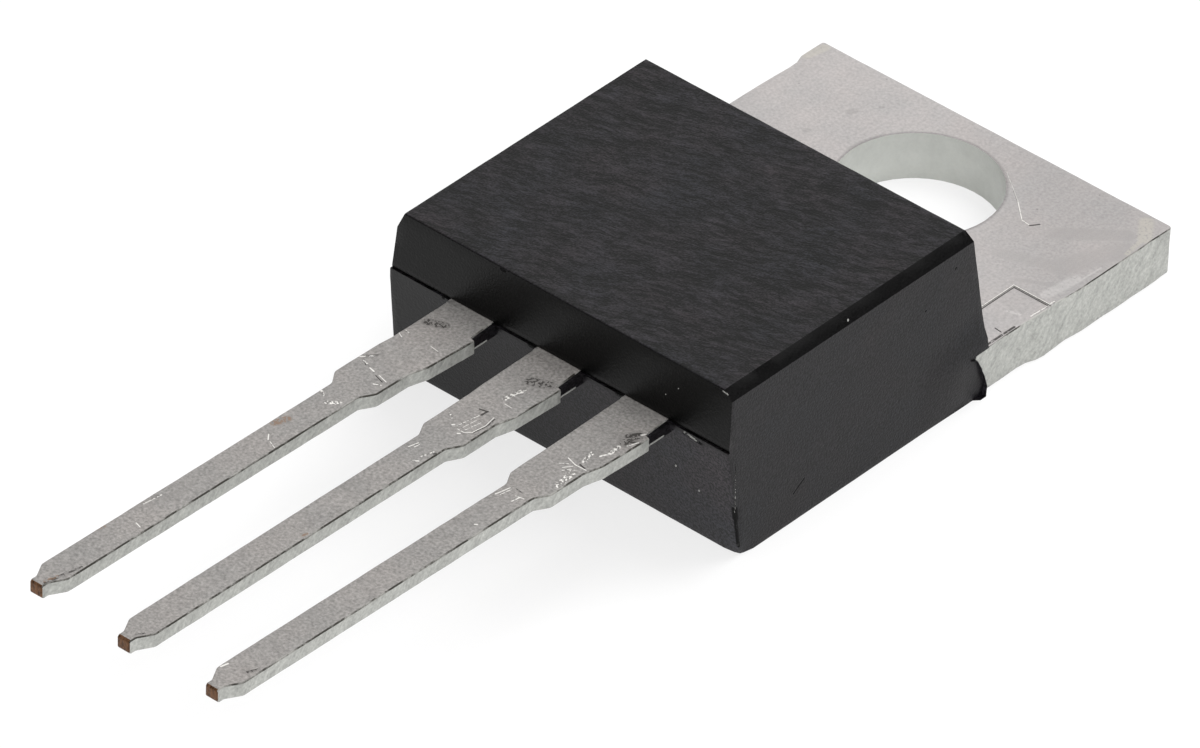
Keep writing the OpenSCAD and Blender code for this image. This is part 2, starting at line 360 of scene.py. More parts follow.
def endMaterial(tree, colour, roughness, metallic, specular, normal):
    shader = addNode(tree, "ShaderNodeBsdfPrincipled", {
        "Base Color": colour, "Roughness": roughness, "Metallic": metallic,
        "Specular IOR Level": specular, "Normal": normal,
    })
    out = addNode(tree, "ShaderNodeOutputMaterial")
    tree.links.new(shader.outputs[0], out.inputs[0])


def shade(colour, factor):
    return (colour[0] * factor, colour[1] * factor, colour[2] * factor, 1)


def layTone(tree, base, level):
    # multiply a colour by a level that changes over the surface
    grey = addNode(tree, "ShaderNodeCombineColor", {0: level, 1: level, 2: level}).outputs[0]
    return mixColour(tree, 1.0, base, grey, "MULTIPLY")


# marks are given flat, as seen from one side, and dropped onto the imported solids
def solidsTree():
    bm = bmesh.new()
    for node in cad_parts.values():
        bm.from_mesh(node.data)
    tree = BVHTree.FromBMesh(bm)
    bm.free()
    return tree


solids = solidsTree()
# for each side, the axis that it looks along, where marks start to fall (mm) and which way
markSides = {
    "top": {"axis": 2, "from": 40, "way": (0, 0, -1)},
    "front": {"axis": 1, "from": -40, "way": (0, 1, 0)},
    "right": {"axis": 0, "from": 40, "way": (-1, 0, 0)},
}


def liftMark(axis, first, second, depth):
    point = [first, second]
    point.insert(axis, depth)
    return Vector(point)


def placeMarks(side, rows, fallFrom=None):
    # a mark with one end off the solids keeps the depth of its other end there
    view = markSides[side]
    above = view["from"] if fallFrom is None else fallFrom
    placed = []
    for startA, startB, endA, endB, width, breakup in rows:
        flatEnds = ((startA, startB), (endA, endB))
        hits = []
        for flat in flatEnds:
            start = liftMark(view["axis"], *flat, above)
            hit = solids.ray_cast(start * mm, Vector(view["way"]))[0]
            hits.append(None if hit is None else hit / mm)
        depths = [hit[view["axis"]] for hit in hits if hit is not None]
        if not depths:
            continue
        ends = [
            tuple(liftMark(view["axis"], *flat, depths[0]) if hit is None else hit)
            for flat, hit in zip(flatEnds, hits)
        ]
        placed.append((*ends, width, breakup))
    return placed


compoundLook = {
    "colour": (0.0058, 0.0058, 0.0072),
    "warmTint": (0.0074, 0.006, 0.0068),
    "patchSpacing": (1.6, 1.6, 1.6),  # mm, as every spacing here
    "roughness": 0.38,
    "roughnessSpread": 0.05,
    "specular": 0.19,
    "flowTurn": 18.6,  # degrees, direction of the flow ripple on the face
    "flowSpacing": (0.7, 0.2, 1),
    "fibreSpacing": (0.24, 0.08, 1),
    "bendSpacing": (2.5, 2.5, 2.5),
    "bend": 0.16,  # mm that the ripple wanders to each side
    "flowColour": 2.8,
    "flowDepth": 0.006,
    "fineSpacing": (0.055, 0.055, 0.055),
    "fineColour": 3.2,
    "fineDepth": 0.0035,
    "darkest": 0.05,  # lowest level of the ripple and grain together
    "pits": (0.9, 0.045, 0.3),  # spacing, radius, share
    "crumbs": (1.3, 0.03, 0.22),
    "markDepth": 0.01,
    "darkColour": (0.001, 0.001, 0.001, 1),
    "darkRoughness": 0.4,
    "brightColour": (0.4, 0.4, 0.38, 1),
    "brightShare": 0.7,
}

# painted shade and painted reflection on the case, as a factor of its colour
casePaintedShadeAndReflection = {
    "frontFacing": (-0.9, -0.7),  # Y of the normal, on the front and past its edge
    "lowerFront": (2.85, 3.0),  # mm, height where it fades to the upper front
    "across": (-5, 5),  # mm, from left to right
    "leftToRight": (0.1, 3.0),
    "flatFacing": (0.12, 0.25),  # X times Z of the normal, off the right top flat and on it
    "flat": 0.1,
}

# scratches, crumbs and pits on the case, and among the bright ones painted glints: (from, to, width,
# breakup), mm, as seen from a side
caseDark = {
    "front": [
        (4.96, 1.38, 4.96, 1.12, 0.18, 0.1), (4.96, 1.1, 4.97, 0.3, 0.1, 0.25),
        (4.96, 2.8, 4.95, 1.3, 0.03, 0.45),
        (3.66, 2.9, 4.15, 2.86, 0.12, 0.5),
        (-3.34, 2.98, -3.16, 2.99, 0.14, 0.3), (-1.78, 4.46, -1.66, 4.46, 0.08, 0.0),
        (-0.8, 2.98, -0.62, 2.99, 0.14, 0.3), (1.74, 2.98, 1.92, 2.99, 0.14, 0.3),
        (4.4, 4.46, 4.9, 4.44, 0.04, 0.5),
    ],
    "right": [
        (-9.94, 0.76, -9.58, 0.99, 0.045, 0.0), (-4.6, 3.9, -4.58, 3.92, 0.06, 0.0),
        (-5.6, 3.3, -5.57, 3.3, 0.05, 0.0), (-4.1, 0.15, -4.0, 1.0, 0.1, 0.5),
    ],
}
# bright nicks, specks and edge lines on the case, partly painted glints
caseBrightMarksAndGlints = {
    "front": [
        (3.31, 1.73, 3.32, 1.75, 0.06, 0.0), (3.95, 1.36, 3.96, 1.38, 0.055, 0.0),
        (3.39, 3.91, 3.4, 3.92, 0.03, 0.0), (3.05, 3.59, 3.06, 3.6, 0.03, 0.0),
        (4.62, 4.46, 4.88, 4.42, 0.045, 0.4), (3.68, 2.93, 4.0, 2.88, 0.08, 0.5),
        (4.97, 2.6, 4.97, 1.3, 0.03, 0.58),
    ],
    "right": [(-8.1, 4.36, -8.08, 4.37, 0.05, 0.0), (-4.08, 0.7, -4.04, 0.95, 0.05, 0.4)],
}
# a bright strip beside the root of each lead, a painted catch light along the edge of the flash there:
# (from, to, width, breakup), mm
rootFlashCatchLights = [
    ((-1.82, -12.78, 2.72), (-1.82, -12.36, 2.72), 0.07, 0.0),
    ((0.72, -12.78, 2.72), (0.72, -12.3, 2.72), 0.07, 0.0),
    ((3.26, -12.78, 2.72), (3.26, -12.28, 2.72), 0.07, 0.0),
]


def paintedShadeOfCase(tree, place, facing):
    # painted shade and reflection: the upper front is blackest, the lower front goes from black on the
    # left to grey on the right, the flat along the right top edge is nearly black, and the rest keeps
    # its colour
    tone = casePaintedShadeAndReflection
    parts = addNode(tree, "ShaderNodeSeparateXYZ", {0: place}).outputs
    front = remap(tree, facing["Y"], *tone["frontFacing"], 1.0, 0.0)
    low = remap(tree, parts["Z"], *tone["lowerFront"], 1.0, 0.0)
    across = remap(tree, parts["X"], *tone["across"], *tone["leftToRight"])
    lowerFront = mathNode(tree, "MULTIPLY", mathNode(tree, "MULTIPLY", front, low), across)
    rest = mathNode(tree, "SUBTRACT", 1.0, front)
    slant = mathNode(tree, "MULTIPLY", facing["X"], facing["Z"])
    flatPaintedShade = remap(tree, slant, *tone["flatFacing"], 1.0, tone["flat"])
    return mathNode(tree, "ADD", lowerFront, mathNode(tree, "MULTIPLY", rest, flatPaintedShade))


def makeCompound():
    look = compoundLook
    material, tree, place = startMaterial("mouldCompound")
    normal = addNode(tree, "ShaderNodeNewGeometry").outputs["Normal"]
    facing = addNode(tree, "ShaderNodeSeparateXYZ", {0: normal}).outputs
    faceOnly = remap(tree, facing["Z"], 0.9, 0.98)  # the top face alone
    flow = addNode(tree, "ShaderNodeVectorRotate", {
        "Vector": place, "Angle": math.radians(-look["flowTurn"]),
    }, rotation_type="Z_AXIS").outputs[0]
    bend = grain(tree, place, look["bendSpacing"], -look["bend"], look["bend"])
    sideways = addNode(tree, "ShaderNodeCombineXYZ", {"Y": bend}).outputs[0]
    bent = vectorNode(tree, "ADD", flow, sideways).outputs[0]
    ripple = grain(tree, bent, look["flowSpacing"])
    fibres = grain(tree, bent, look["fibreSpacing"])
    ripple = mathNode(tree, "MULTIPLY", mathNode(tree, "ADD", ripple, fibres), 0.5)
    fine = grain(tree, place, look["fineSpacing"])
    patches = grain(tree, place, look["patchSpacing"])

    face = mathNode(tree, "MULTIPLY", mathNode(tree, "SUBTRACT", ripple, 0.5), faceOnly)
    level = mathNode(tree, "MULTIPLY", face, look["flowColour"] * 2)
    half = look["fineColour"] / 2
    level = mathNode(tree, "ADD", level, remap(tree, fine, 0.0, 1.0, 1 - half, 1 + half))
    level = mathNode(tree, "MAXIMUM", level, look["darkest"])
    # painted shade on the upper front and the right top flat, painted reflection growing to the right
    # on the lower front
    level = mathNode(tree, "MULTIPLY", level, paintedShadeOfCase(tree, place, facing))
    base = mixColour(tree, patches, (*look["colour"], 1), (*look["warmTint"], 1))
    base = layTone(tree, base, level)

    pits = mathNode(tree, "MULTIPLY", specks(tree, place, *look["pits"]), faceOnly)
    crumbs = specks(tree, place, *look["crumbs"])
    dark = strokes(tree, place, fine, [
        mark for side, rows in caseDark.items() for mark in placeMarks(side, rows)])
    dark = mathNode(tree, "MAXIMUM", dark, pits)
    bright = strokes(tree, place, fine, rootFlashCatchLights + [
        mark for side, rows in caseBrightMarksAndGlints.items() for mark in placeMarks(side, rows)])
    bright = mathNode(tree, "MAXIMUM", bright, crumbs)
    base = mixColour(tree, dark, base, look["darkColour"])
    brightShare = mathNode(tree, "MULTIPLY", bright, look["brightShare"])
    base = mixColour(tree, brightShare, base, look["brightColour"])

    swing = look["roughnessSpread"]
    rough = mathNode(tree, "ADD", remap(tree, fine, 0.0, 1.0, -swing, swing), look["roughness"])
    duller = mathNode(tree, "MULTIPLY", dark, look["darkRoughness"])
    rough = mathNode(tree, "ADD", rough, duller, clamp=True)
    height = mathNode(tree, "MULTIPLY", ripple, faceOnly)
    normal = bump(tree, height, look["flowDepth"])
    normal = bump(tree, fine, look["fineDepth"], normal)
    normal = bump(tree, mathNode(tree, "SUBTRACT", bright, dark), look["markDepth"], normal)
    endMaterial(tree, base, rough, 0.0, look["specular"], normal)
    return material


tinLooks = {
    # rolled faces of the tab and of the leads, sheared sides, wall of the hole
    "tabFace": {"colour": (0.452, 0.435, 0.43), "metallic": 0.6, "roughness": 0.42,
                "grain": 0.15, "grainDepth": 0.0012, "fallFrom": 1.3},
    "leadFace": {"colour": (0.268, 0.259, 0.249), "metallic": 0.3, "roughness": 0.55,
                 "grain": 0.36, "grainDepth": 0.0025, "fallFrom": 40},
    "shearedSide": {"colour": (0.42, 0.424, 0.4), "metallic": 0.5, "roughness": 0.5,
                    "contrast": 0.2, "spacing": (0.13, 0.13, 0.5)},
    "holeWall": {"colour": (0.55, 0.56, 0.53), "metallic": 0.4, "roughness": 0.45,
                 "contrast": 0.03, "spacing": (0.3, 0.3, 0.8)},
    "edgeLine": {"colour": (0.52, 0.51, 0.48), "metallic": 0.5, "roughness": 0.5},
}
metalSpecular = 0.5

# what the rolled faces of the tab and the leads share; lengths in mm
rolledLook = {
    "fineSpacing": (0.07, 0.07, 0.07),
    "rollingSpacing": (0.12, 1.6, 0.12),
    "cloudSpacing": (1.3, 1.3, 1.3),
    "cloudDark": 0.95,
    "cloudLight": (1.07, 1.04, 1.03),
    "rollingSpread": 0.03,
    "dots": (0.35, 0.03, 0.3),  # spacing, radius, share
    "dotShade": 0.3,
    "roughnessSpread": 0.06,
    "polish": 0.12,  # roughness that a shiny mark takes off
    "markDepth": 0.016,
}

# marks on the upper faces: scratches, scrapes, stains and bare copper, with painted highlights and
# painted shadows. Each row is (from x, from y, to x, to y, width, breakup), mm; relief is positive
# where metal stands up
# bright scratches, their brightness partly a painted glint; on the tab also a painted highlight along
# the edge of the patch by the case
shinyAndPaintedHighlight = {"colour": (0.86, 0.84, 0.8, 1), "share": 0.85, "relief": 1.0}
# dark scratches and specks; on the tab also a painted shadow along the edge of the patch by the case
black = {"colour": (0.03, 0.027, 0.024, 1), "share": 0.88, "relief": -1.0}
stain = {"colour": (0.2, 0.19, 0.18, 1), "share": 0.22, "relief": 0.0}
scrape = {"colour": (0.8, 0.78, 0.76, 1), "share": 0.2, "relief": 0.0}
yellowed = {"colour": (0.58, 0.55, 0.45, 1), "share": 0.3, "relief": 0.0}
bareCopper = {"colour": (0.2, 0.11, 0.055, 1), "share": 0.7, "relief": 0.0}
upperMarks = {
    "leftLeadFace": [
        (black, [
            (-2.95, -13.0, -2.6, -12.86, 0.3, 0.52), (-3.1, -14.9, -2.9, -14.66, 0.04, 0.2),
            (-2.42, -15.26, -2.16, -15.34, 0.03, 0.0), (-3.02, -15.0, -2.84, -15.12, 0.03, 0.4),
            (-2.4, -25.65, -2.32, -25.1, 0.1, 0.52), (-2.3, -25.05, -2.24, -24.7, 0.07, 0.48),
        ]),
        (shinyAndPaintedHighlight, [
            (-3.2, -13.8, -3.14, -13.72, 0.06, 0.0), (-3.08, -13.57, -2.91, -13.62, 0.035, 0.4),
            (-3.12, -13.75, -2.95, -13.83, 0.03, 0.4), (-2.29, -13.63, -2.06, -13.66, 0.025, 0.0),
            (-3.14, -14.98, -2.94, -14.74, 0.05, 0.35), (-2.99, -15.03, -2.81, -15.08, 0.05, 0.3),
            (-2.7, -15.14, -2.56, -15.17, 0.05, 0.0), (-2.38, -15.2, -2.1, -15.28, 0.03, 0.0),
            (-2.25, -15.52, -2.1, -15.44, 0.05, 0.3), (-2.83, -22.15, -2.78, -21.65, 0.045, 0.4),
            (-2.48, -22.75, -2.32, -22.8, 0.035, 0.2),
            (-2.63, -18.44, -2.5, -18.6, 0.035, 0.1), (-2.42, -18.62, -2.21, -18.71, 0.025, 0.3),
            (-2.52, -16.72, -2.3, -16.55, 0.14, 0.47), (-2.9, -16.48, -2.74, -16.58, 0.07, 0.45),
        ]),
        (bareCopper, [(-3.0, -23.55, -2.92, -23.35, 0.2, 0.47), (-2.45, -25.6, -2.38, -25.3, 0.1, 0.45),
                       (-2.82, -18.05, -2.72, -17.75, 0.24, 0.47)]),
        (stain, [(-2.9, -22.4, -2.5, -21.2, 0.2, 0.4)]),
    ],
    "middleLeadFace": [
        (black, [
            (0.12, -13.05, 0.47, -12.9, 0.36, 0.58), (-0.03, -14.55, 0.16, -14.5, 0.05, 0.0),
            (0.15, -14.5, 0.14, -14.68, 0.06, 0.0), (0.45, -14.6, 0.5, -14.92, 0.035, 0.35),
            (0.49, -14.95, 0.44, -15.28, 0.025, 0.35), (0.33, -16.42, 0.35, -16.36, 0.04, 0.0),
            (0.1, -25.5, 0.2, -25.35, 0.06, 0.45),
        ]),
        (shinyAndPaintedHighlight, [
            (0.12, -13.9, 0.2, -13.45, 0.14, 0.56), (0.17, -13.73, 0.25, -13.35, 0.03, 0.3),
            (0.24, -14.04, 0.44, -14.05, 0.025, 0.0), (0.12, -14.72, 0.01, -15.32, 0.03, 0.35),
            (0.4, -14.57, 0.46, -14.9, 0.03, 0.0), (0.46, -14.9, 0.41, -15.28, 0.03, 0.0),
            (0.41, -15.28, 0.28, -15.4, 0.03, 0.0), (0.28, -15.4, 0.09, -15.4, 0.03, 0.3),
            (0.32, -14.88, 0.24, -15.31, 0.025, 0.4), (0.19, -14.9, 0.14, -15.3, 0.02, 0.45),
            (-0.09, -15.37, -0.06, -15.33, 0.05, 0.0), (0.2, -15.52, 0.24, -15.48, 0.05, 0.0),
            (-0.46, -15.06, -0.25, -15.2, 0.05, 0.5), (-0.24, -16.6, -0.18, -16.35, 0.035, 0.2),
            (-0.14, -16.52, -0.12, -16.38, 0.03, 0.2), (0.15, -16.93, 0.26, -16.83, 0.05, 0.45),
            (0.19, -16.69, 0.28, -16.36, 0.045, 0.45),
        ]),
        (bareCopper, [(0.28, -20.5, 0.3, -20.4, 0.08, 0.3)]),
    ],
    "rightLeadFace": [
        (stain, [(2.9, -13.15, 3.15, -12.9, 0.34, 0.3), (2.85, -14.2, 3.05, -13.7, 0.16, 0.4)]),
        (black, [
            (2.94, -13.08, 3.08, -12.86, 0.16, 0.4), (3.1, -13.2, 3.24, -13.14, 0.1, 0.35),
            (3.02, -13.3, 3.1, -12.95, 0.3, 0.58), (2.87, -14.54, 3.02, -14.57, 0.05, 0.0),
            (2.45, -16.11, 2.6, -16.13, 0.03, 0.3), (2.7, -24.95, 2.84, -24.65, 0.1, 0.53),
        ]),
        (shinyAndPaintedHighlight, [
            (2.52, -14.53, 2.79, -14.61, 0.035, 0.0), (2.79, -14.61, 3.09, -14.6, 0.035, 0.0),
            (2.84, -14.4, 2.78, -14.04, 0.12, 0.5), (2.5, -14.8, 2.66, -14.68, 0.03, 0.2),
            (2.65, -14.87, 2.78, -14.68, 0.03, 0.2), (2.72, -14.95, 2.83, -14.78, 0.03, 0.3),
            (3.02, -15.4, 2.92, -14.85, 0.22, 0.56), (2.98, -14.02, 3.08, -13.79, 0.06, 0.3),
            (3.07, -13.8, 3.05, -13.5, 0.12, 0.45), (3.13, -12.85, 3.2, -12.72, 0.07, 0.2),
            (3.16, -13.35, 3.26, -13.1, 0.05, 0.4), (2.24, -16.56, 2.32, -16.18, 0.04, 0.2),
            (2.33, -16.5, 2.38, -16.2, 0.03, 0.3), (2.67, -16.52, 2.7, -16.31, 0.04, 0.35),
            (2.6, -16.31, 2.81, -16.27, 0.035, 0.3), (2.66, -17.68, 2.7, -17.65, 0.05, 0.0),
            (2.2, -25.12, 2.24, -24.95, 0.06, 0.2),
        ]),
    ],
    "tabFace": [
        (stain, [
            (-2.92, 1.03, -2.88, 1.1, 0.26, 0.0), (-2.52, 1.63, -2.5, 1.66, 0.12, 0.0),
            (-3.19, -0.18, -3.15, -0.14, 0.18, 0.0), (-2.01, -0.08, -1.98, 0.36, 0.14, 0.0),
            (-1.98, 0.36, -1.8, 0.9, 0.12, 0.0), (3.9, -1.2, 4.8, -0.7, 0.16, 0.5),
            (4.3, -0.2, 4.9, 1.2, 0.7, 0.54), (3.4, 0.7, 4.6, 1.7, 0.5, 0.52),
            (3.0, -0.7, 4.3, -0.2, 0.4, 0.56),
        ]),
        (yellowed, [(4.6, 2.4, 4.98, 1.9, 0.4, 0.25), (4.95, 1.9, 5.05, 1.2, 0.14, 0.3),
                    (-5.05, 2.0, -4.95, 2.5, 0.3, 0.1)]),
        (black, [
            (1.18, 1.66, 2.02, 1.02, 0.02, 0.4), (2.8, 0.52, 2.93, 0.7, 0.05, 0.0),
            # painted shadow inside the edge of the patch at the right of the tab
            (4.02, -3.5, 4.02, -1.44, 0.03, 0.0), (4.02, -1.45, 5.0, -1.45, 0.03, 0.0),
            (4.95, -3.82, 4.97, -2.55, 0.07, 0.25), (4.69, -2.87, 4.88, -2.89, 0.035, 0.0),
            (4.74, -3.62, 4.93, -3.58, 0.1, 0.3), (4.86, -3.85, 4.9, -3.5, 0.08, 0.3),
        ]),
        (shinyAndPaintedHighlight, [
            (1.15, 1.68, 2.01, 1.04, 0.03, 0.25), (2.01, 1.04, 2.54, 0.56, 0.035, 0.0),
            # the second row here and the first below: painted highlight outside the edge of that patch
            (2.54, 0.56, 2.77, 0.53, 0.035, 0.0), (3.97, -3.5, 3.97, -1.4, 0.035, 0.0),
            (3.97, -1.4, 5.0, -1.4, 0.035, 0.0), (4.98, -2.0, 5.02, -1.25, 0.05, 0.0),
            (4.84, -3.6, 4.88, -3.4, 0.07, 0.2), (4.7, -3.75, 4.78, -3.6, 0.06, 0.2),
        ]),
        (scrape, [(4.72, -1.2, 4.84, -0.3, 0.32, 0.15), (4.8, -1.2, 4.86, -0.7, 0.06, 0.0),
                  (4.93, -0.4, 4.97, 0.4, 0.06, 0.0), (4.5, -2.2, 4.75, -2.12, 0.12, 0.45)]),
    ],
}


tabTonesAndPaintedLight = {
    "corner": (1.0, 5.5, 1.0, 0.87),  # x + y in mm, from and to, and the tone at each
    "cloudReach": 1.5,  # mm that the clouds move the corner's edge
    "rim": (1.97, 2.04, 0.72, 1.0),  # distance from the hole's centre
    # painted light near the case: y from and to, and the tone at each
    "nearCase": (-3.8, -0.5, 1.08, 1.0),  # y
}
# painted light on the leads next to the case: y from and to, and the factor at each
leadRootPaintedLight = (-13.3, -12.1, 1.0, 1.3)  # y


def tabTonesWithPaintedLight(tree, place, cloud):
    # darker towards the far right corner and at the rim of the hole, and painted light near the case,
    # lifting the shade that the case casts
    parts = addNode(tree, "ShaderNodeSeparateXYZ", {0: place}).outputs
    across = mathNode(tree, "ADD", parts["X"], parts["Y"])
    across = mathNode(tree, "ADD", across, mathNode(tree, "MULTIPLY", cloud, tabTonesAndPaintedLight["cloudReach"]))
    corner = remap(tree, across, *tabTonesAndPaintedLight["corner"], smooth=True)
    flat = addNode(tree, "ShaderNodeCombineXYZ", {"X": parts["X"], "Y": parts["Y"]}).outputs[0]
    fromHole = vectorNode(tree, "LENGTH", flat).outputs["Value"]
    rim = remap(tree, fromHole, *tabTonesAndPaintedLight["rim"], smooth=True)
    nearCase = remap(tree, parts["Y"], *tabTonesAndPaintedLight["nearCase"])
    return mathNode(tree, "MULTIPLY", mathNode(tree, "MULTIPLY", corner, rim), nearCase)


def paintedLightAtLeadRoot(tree, place):
    # painted light: lighter next to the case, lifting the shade that the case casts there
    along = addNode(tree, "ShaderNodeSeparateXYZ", {0: place}).outputs["Y"]
    return remap(tree, along, *leadRootPaintedLight, smooth=True)


def makeRolledFace(name, lookName):
    look = tinLooks[lookName]
    shared = rolledLook
    colour = look["colour"]
    material, tree, place = startMaterial(name)
    fine = grain(tree, place, shared["fineSpacing"])
    rolling = grain(tree, place, shared["rollingSpacing"])
    clouds = grain(tree, place, shared["cloudSpacing"])
    light = [part * factor for part, factor in zip(colour, shared["cloudLight"])]
    base = mixColour(tree, clouds, shade(colour, shared["cloudDark"]), (*light, 1))
    swing, along = look["grain"], shared["rollingSpread"]
    level = mathNode(tree, "ADD", remap(tree, fine, 0.0, 1.0, 1 - swing, 1 + swing),
                     remap(tree, rolling, 0.0, 1.0, -along, along))
    dots = mathNode(tree, "MULTIPLY", specks(tree, place, *shared["dots"]), shared["dotShade"])
    base = layTone(tree, base, mathNode(tree, "SUBTRACT", level, dots))
    # painted light next to the case; on the tab together with its darker corner and rim
    tone = tabTonesWithPaintedLight(tree, place, clouds) if lookName == "tabFace" else paintedLightAtLeadRoot(tree, place)
    base = layTone(tree, base, tone)

    relief, polish = 0.0, 0.0
    for kind, rows in upperMarks[name]:
        mask = strokes(tree, place, fine, placeMarks("top", rows, look["fallFrom"]))
        share = mathNode(tree, "MULTIPLY", mask, kind["share"])
        base = mixColour(tree, share, base, kind["colour"])
        if kind["relief"]:
            raised = mathNode(tree, "MULTIPLY", mask, kind["relief"])
            relief = mathNode(tree, "ADD", relief, raised)
        if kind is shinyAndPaintedHighlight:
            polish = mathNode(tree, "MULTIPLY", mask, shared["polish"])
    swing = shared["roughnessSpread"]
    rough = mathNode(tree, "ADD", remap(tree, fine, 0.0, 1.0, -swing, swing), look["roughness"])
    rough = mathNode(tree, "SUBTRACT", rough, polish, clamp=True)
    normal = bump(tree, fine, look["grainDepth"])
    normal = bump(tree, relief, shared["markDepth"], normal)
    endMaterial(tree, base, rough, look["metallic"], metalSpecular, normal)
    return material


shearedLook = {
    "lean": 40,  # degrees that the streaks lean from the thickness
    "fineSpacing": (0.07, 0.07, 0.07),
    "cloudSpacing": (0.5, 0.5, 0.5),
    "clouds": (0.95, 1.05),
    "roughnessSpread": 0.08,
    "streakDepth": 0.006 / 0.14,  # mm for each unit of contrast
}


def makeShearedFinish(name):
    # streaks along the cut, through the thickness
    look = tinLooks[name]
    shared = shearedLook
    contrast = look["contrast"]
    material, tree, place = startMaterial(name)
    leaning = addNode(tree, "ShaderNodeVectorRotate", {
        "Vector": place, "Angle": math.radians(shared["lean"]),
    }, rotation_type="X_AXIS").outputs[0]
    streaks = grain(tree, leaning, look["spacing"])
    fine = grain(tree, place, shared["fineSpacing"])
    clouds = grain(tree, place, shared["cloudSpacing"])
    level = mathNode(tree, "ADD", remap(tree, streaks, 0.0, 1.0, 1 - contrast, 1 + contrast),
                     remap(tree, fine, 0.0, 1.0, -contrast, contrast))
    dark, light = (shade(look["colour"], factor) for factor in shared["clouds"])
    base = layTone(tree, mixColour(tree, clouds, dark, light), level)
    swing = shared["roughnessSpread"]
    rough = mathNode(tree, "ADD", remap(tree, streaks, 0.0, 1.0, -swing, swing), look["roughness"])
    normal = bump(tree, streaks, shared["streakDepth"] * contrast)
    endMaterial(tree, base, rough, look["metallic"], metalSpecular, normal)
    return material


# a dark line along the right top edges: partly a burr, partly painted shade on the rounded edge
burrAndEdgeShadeLook = {
    "brokenSpacing": (0.25, 0.5, 0.25),  # mm
    "fineSpacing": (0.06, 0.06, 0.06),
    "fineShare": 0.3,
    "dark": (0.45, 0.95, 0.95, 0.15),  # grain from and to, and the share of black at each
    "more": 0.22,
    "cleanStart": (-2.45, -2.35),  # mm along Y, where the black line fades out
    "cleanEnd": (-1.0, -0.85),  # and where it comes back
    "black": (0.05, 0.047, 0.04, 1),
    "roughness": (0.4, 0.6),
    "depth": 0.004,
}


def makeEdgeLine():
    # a broken dark line along the top edge of a sheared side: partly a burr, partly painted shade on
    # the rounded edge
    look, burrAndShade = tinLooks["edgeLine"], burrAndEdgeShadeLook
    material, tree, place = startMaterial("edgeLine")
    broken = grain(tree, place, burrAndShade["brokenSpacing"])
    fine = grain(tree, place, burrAndShade["fineSpacing"])
    mottle = mathNode(tree, "ADD", broken, mathNode(tree, "MULTIPLY", fine, burrAndShade["fineShare"]))
    dark = mathNode(tree, "ADD", remap(tree, mottle, *burrAndShade["dark"]), burrAndShade["more"])
    along = addNode(tree, "ShaderNodeSeparateXYZ", {0: place}).outputs["Y"]
    nearCase = remap(tree, along, *burrAndShade["cleanStart"], 1.0, 0.0)
    farPart = remap(tree, along, *burrAndShade["cleanEnd"])
    kept = mathNode(tree, "MAXIMUM", nearCase, farPart)
    dark = mathNode(tree, "MULTIPLY", dark, kept, clamp=True)
    base = mixColour(tree, dark, (*look["colour"], 1), burrAndShade["black"])
    rough = remap(tree, fine, 0.0, 1.0, *burrAndShade["roughness"])
    normal = bump(tree, broken, burrAndShade["depth"])
    endMaterial(tree, base, rough, look["metallic"], metalSpecular, normal)
    return material


copperLook = {
    "spacing": (0.06, 0.06, 0.12),  # mm
    "dark": (0.04, 0.016, 0.006, 1),
    "light": (0.22, 0.11, 0.055, 1),
    "roughness": (0.35, 0.6),
    "metallic": 0.7,
    "depth": 0.01,
}


def makeCutCopper():
    look = copperLook
    material, tree, place = startMaterial("cutCopper")
    fine = grain(tree, place, look["spacing"])
    base = mixColour(tree, fine, look["dark"], look["light"])
    rough = remap(tree, fine, 0.0, 1.0, *look["roughness"])
    normal = bump(tree, fine, look["depth"])
    endMaterial(tree, base, rough, look["metallic"], metalSpecular, normal)
    return material


innerLook = {"dark": 0.85, "light": 1.15, "roughnessSpread": 0.08, "depth": 0.002}


def makeInnerFinish(name, colour, roughness, spacing):
    look = innerLook
    material, tree, place = startMaterial(name)
    fine = grain(tree, place, spacing)
    base = mixColour(tree, fine, shade(colour, look["dark"]), shade(colour, look["light"]))
    swing = look["roughnessSpread"]
    rough = remap(tree, fine, 0.0, 1.0, roughness - swing, roughness + swing)
    endMaterial(tree, base, rough, 1.0, metalSpecular, bump(tree, fine, look["depth"]))
    return material


compound = makeCompound()
tabFace = makeRolledFace("tabFace", "tabFace")
leadFaces = {
    side: makeRolledFace(side + "LeadFace", "leadFace") for side in ("left", "middle", "right")
}
shearedSide = makeShearedFinish("shearedSide")
holeWall = makeShearedFinish("holeWall")
edgeLine = makeEdgeLine()
cutCopper = makeCutCopper()
print("finishes ready")


shaping = {
    "probeStart": 0.002,  # mm outside a face, where a ray looks for another face over it
    "cutTolerance": 0.0001,  # mm
    "sharpAngle": 28,  # degrees, from which an edge is rounded
    "smoothAngle": 32,  # degrees, up to which shading stays smooth
    "shortEdge": 2.3,  # times the radius
    "inLine": 0.8,  # cosine of the angle up to which a short edge goes on along the edge
    "fineWave": (0.35, 0.5),  # size and height of the finer wave, as shares of the first
    "mergeDistance": 0.0005,  # mm
    "flatAngle": 0.3,  # degrees, under which two faces are joined as one
    "flatFoot": 0.01,  # mm, height up to which the resting plane stays flat
}


def outerFaces(bm):
    tree = BVHTree.FromBMesh(bm)
    found = set()
    for face in bm.faces:
        start = face.calc_center_median() + face.normal * shaping["probeStart"] * mm
        if tree.ray_cast(start, face.normal)[0] is None:
            found.add(face)
    return found


def axisWay(axis):
    return Vector([1.0 if i == axis else 0.0 for i in range(3)])


def cutPlane(bm, spot, way):
    bmesh.ops.bisect_plane(
        bm, geom=bm.verts[:] + bm.edges[:] + bm.faces[:], dist=shaping["cutTolerance"] * mm,
        plane_co=spot, plane_no=way,
    )


